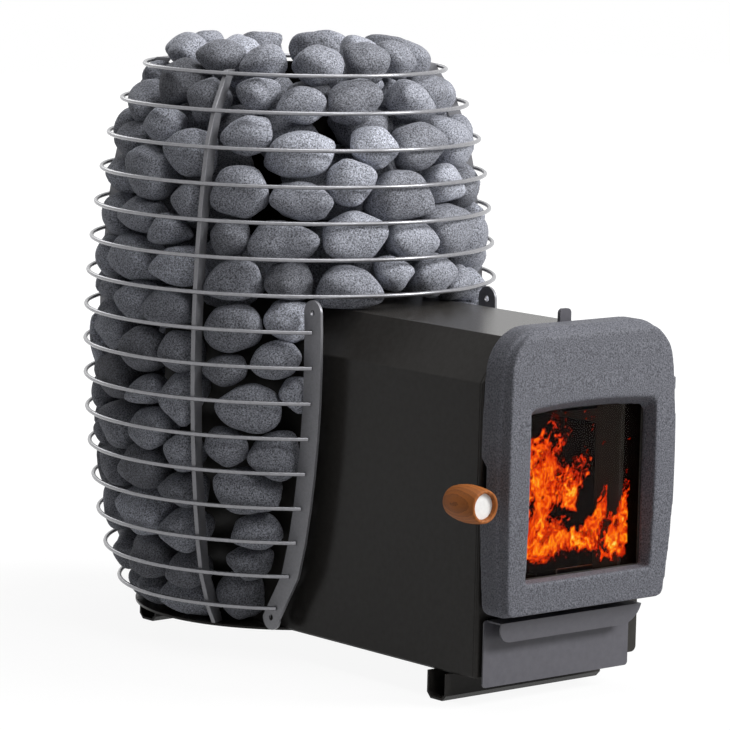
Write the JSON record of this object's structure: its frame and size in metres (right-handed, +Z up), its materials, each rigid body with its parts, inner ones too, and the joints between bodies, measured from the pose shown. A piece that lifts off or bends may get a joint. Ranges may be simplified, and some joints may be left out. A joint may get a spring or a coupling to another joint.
{
  "type": "wood-burning sauna heater",
  "caption": "Wood-burning sauna heater: wire barrel cage of stones round a long firebox with glazed cast-iron door, wooden latch knob, ash drawer and air lever.",
  "frame": {"origin": "on the floor under the middle of the stove's overall length and width", "axes": "+Z up, door faces -Y, +X to the right of someone facing along +Y"},
  "size_m": [0.553, 0.8862, 0.797],
  "materials": {
    "bright_wire": "drawn, satin",
    "bright_plate": "brushed",
    "basalt": "matte, fine pale speckle",
    "black_steel": "matte heat-proof paint",
    "cast_iron": "rough sand-cast, dark grey",
    "firebrick": "matte, sooty",
    "sealing_rope": "woven glass fibre",
    "stove_glass": "clear, glossy",
    "bare_steel": "satin",
    "turned_wood": "oiled"
  },
  "bodies": {
    "stove": {"baffle": "black_steel", "base_plate": "black_steel", "bed_plate": "black_steel", "bed_rails": "black_steel", "cage_bar_left": "bright_plate", "cage_bar_rear_left": "bright_plate", "cage_bar_rear_right": "bright_plate", "cage_bar_right": "bright_plate", "cage_ring_01": "bright_wire", "cage_ring_02": "bright_wire", "cage_ring_03": "bright_wire", "cage_ring_04": "bright_wire", "cage_ring_05": "bright_wire", "cage_ring_06": "bright_wire", "cage_ring_07": "bright_wire", "cage_ring_08": "bright_wire", "cage_ring_09": "bright_wire", "cage_ring_10": "bright_wire", "cage_ring_11": "bright_wire", "cage_ring_12": "bright_wire", "cage_ring_13": "bright_wire", "cage_ring_14": "bright_wire", "cage_ring_15": "bright_wire", "cage_ring_16": "bright_wire", "door_seat": "black_steel", "end_plate_left": "bright_plate", "end_plate_right": "bright_plate", "firebox_back_wall": "black_steel", "firebox_shell": "black_steel", "firebrick_back": "firebrick", "firebrick_left": "firebrick", "firebrick_right": "firebrick", "flue_tube": "black_steel", "foot_front": "black_steel", "foot_rear": "black_steel", "front_plate": "black_steel", "grate": "cast_iron", "hinge_brackets": "black_steel", "hinge_pins": "bare_steel", "latch_keeper": "black_steel", "slide_guides": "black_steel", "stones_belly": "basalt", "stones_bottom": "basalt", "stones_crown": "basalt", "stones_lower": "basalt", "stones_shoulder": "basalt"},
    "door": {"door_casting": "cast_iron", "glass_gasket": "sealing_rope", "door_glass": "stove_glass", "glass_clips": "bare_steel", "clip_screws": "bare_steel", "door_rope": "sealing_rope", "latch_pivot_bolt": "bare_steel"},
    "latch": {"latch_lever": "bare_steel", "knob": "turned_wood", "knob_cap": "bare_steel"},
    "ash_drawer": {"ash_tray": "black_steel", "ash_drawer_front": "black_steel"},
    "air_control": {"air_slide": "black_steel"}
  },
  "joints": [
    {"name": "door_hinge", "type": "hinge", "parent": "stove", "child": "door", "pos_m": [0.15, -0.37234, 0.2995], "axis": [0, 0, 1], "range_deg": [0, 120]},
    {"name": "latch_pivot", "type": "hinge", "parent": "door", "child": "latch", "pos_m": [-0.1385, -0.38325, 0.271], "axis": [0, 1, 0], "range_deg": [0, 35]},
    {"name": "drawer_slide", "type": "slide", "parent": "stove", "child": "ash_drawer", "axis": [0, -1, 0], "range_m": [0, 0.25]},
    {"name": "air_slide", "type": "slide", "parent": "stove", "child": "air_control", "axis": [1, 0, 0], "range_m": [-0.018, 0.018]}
  ]
}
